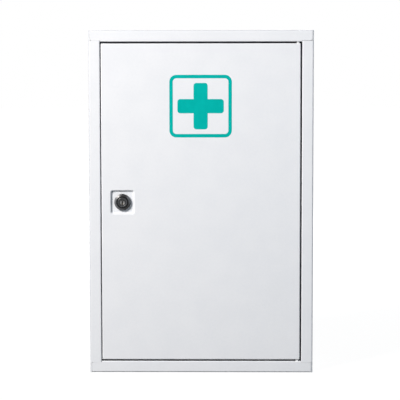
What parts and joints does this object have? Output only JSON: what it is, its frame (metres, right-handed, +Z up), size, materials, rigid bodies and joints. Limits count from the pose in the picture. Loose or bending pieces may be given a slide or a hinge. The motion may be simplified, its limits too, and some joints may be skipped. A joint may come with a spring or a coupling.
{
  "type": "lockable medicine cabinet",
  "caption": "Wall-mounted white sheet-steel medicine cabinet with a flush lockable door, a cam lock in a square recess, and shelves inside.",
  "frame": {"origin": "centre of the four wall holes, on the rear face of the back panel", "axes": "+X to the cabinet's right seen from the front, +Y back into the wall, +Z up; the front faces -Y"},
  "size_m": [0.3, 0.144, 0.46],
  "materials": {
    "powder_coat": "fine-textured semi-gloss white powder coat",
    "zinc_steel": "bright zinc plating",
    "white_nylon": "natural white nylon",
    "grey_rubber": "matt moulded rubber",
    "black_lock": "glossy black",
    "nickel_plug": "nickel plating",
    "brass_wafer": "stamped brass",
    "teal_print": "screen-printed enamel"
  },
  "bodies": {
    "cabinet": {"side_panel_left": "powder_coat", "side_panel_right": "powder_coat", "top_panel": "powder_coat", "bottom_panel": "powder_coat", "back_panel": "powder_coat", "shelf_rail_upper_left": "powder_coat", "shelf_rail_upper_right": "powder_coat", "shelf_rail_lower_left": "powder_coat", "shelf_rail_lower_right": "powder_coat", "shelf_upper": "powder_coat", "shelf_lower": "powder_coat", "pivot_pin_top": "zinc_steel", "pivot_pin_bottom": "zinc_steel", "pivot_washer_top": "white_nylon", "pivot_washer_bottom": "white_nylon", "door_buffers": "grey_rubber"},
    "door": {"door_pan": "powder_coat", "door_pivot_bracket_top": "zinc_steel", "door_pivot_bracket_bottom": "zinc_steel", "lock_body": "black_lock", "lock_washer": "zinc_steel", "lock_nut": "zinc_steel"},
    "key_plug": {"lock_plug": "nickel_plug", "plug_cap": "black_lock", "lock_wafers": "brass_wafer", "lock_cam": "zinc_steel", "cam_washer": "zinc_steel", "cam_screw": "zinc_steel"}
  },
  "joints": [
    {"name": "door_swing", "type": "hinge", "parent": "cabinet", "child": "door", "pos_m": [0.1292, -0.1364, 0], "axis": [0, 0, 1], "range_deg": [0, 110]},
    {"name": "lock_turn", "type": "hinge", "parent": "door", "child": "key_plug", "pos_m": [-0.1054, -0.137, 0.0007], "axis": [0, 1, 0], "range_deg": [0, 90]}
  ]
}
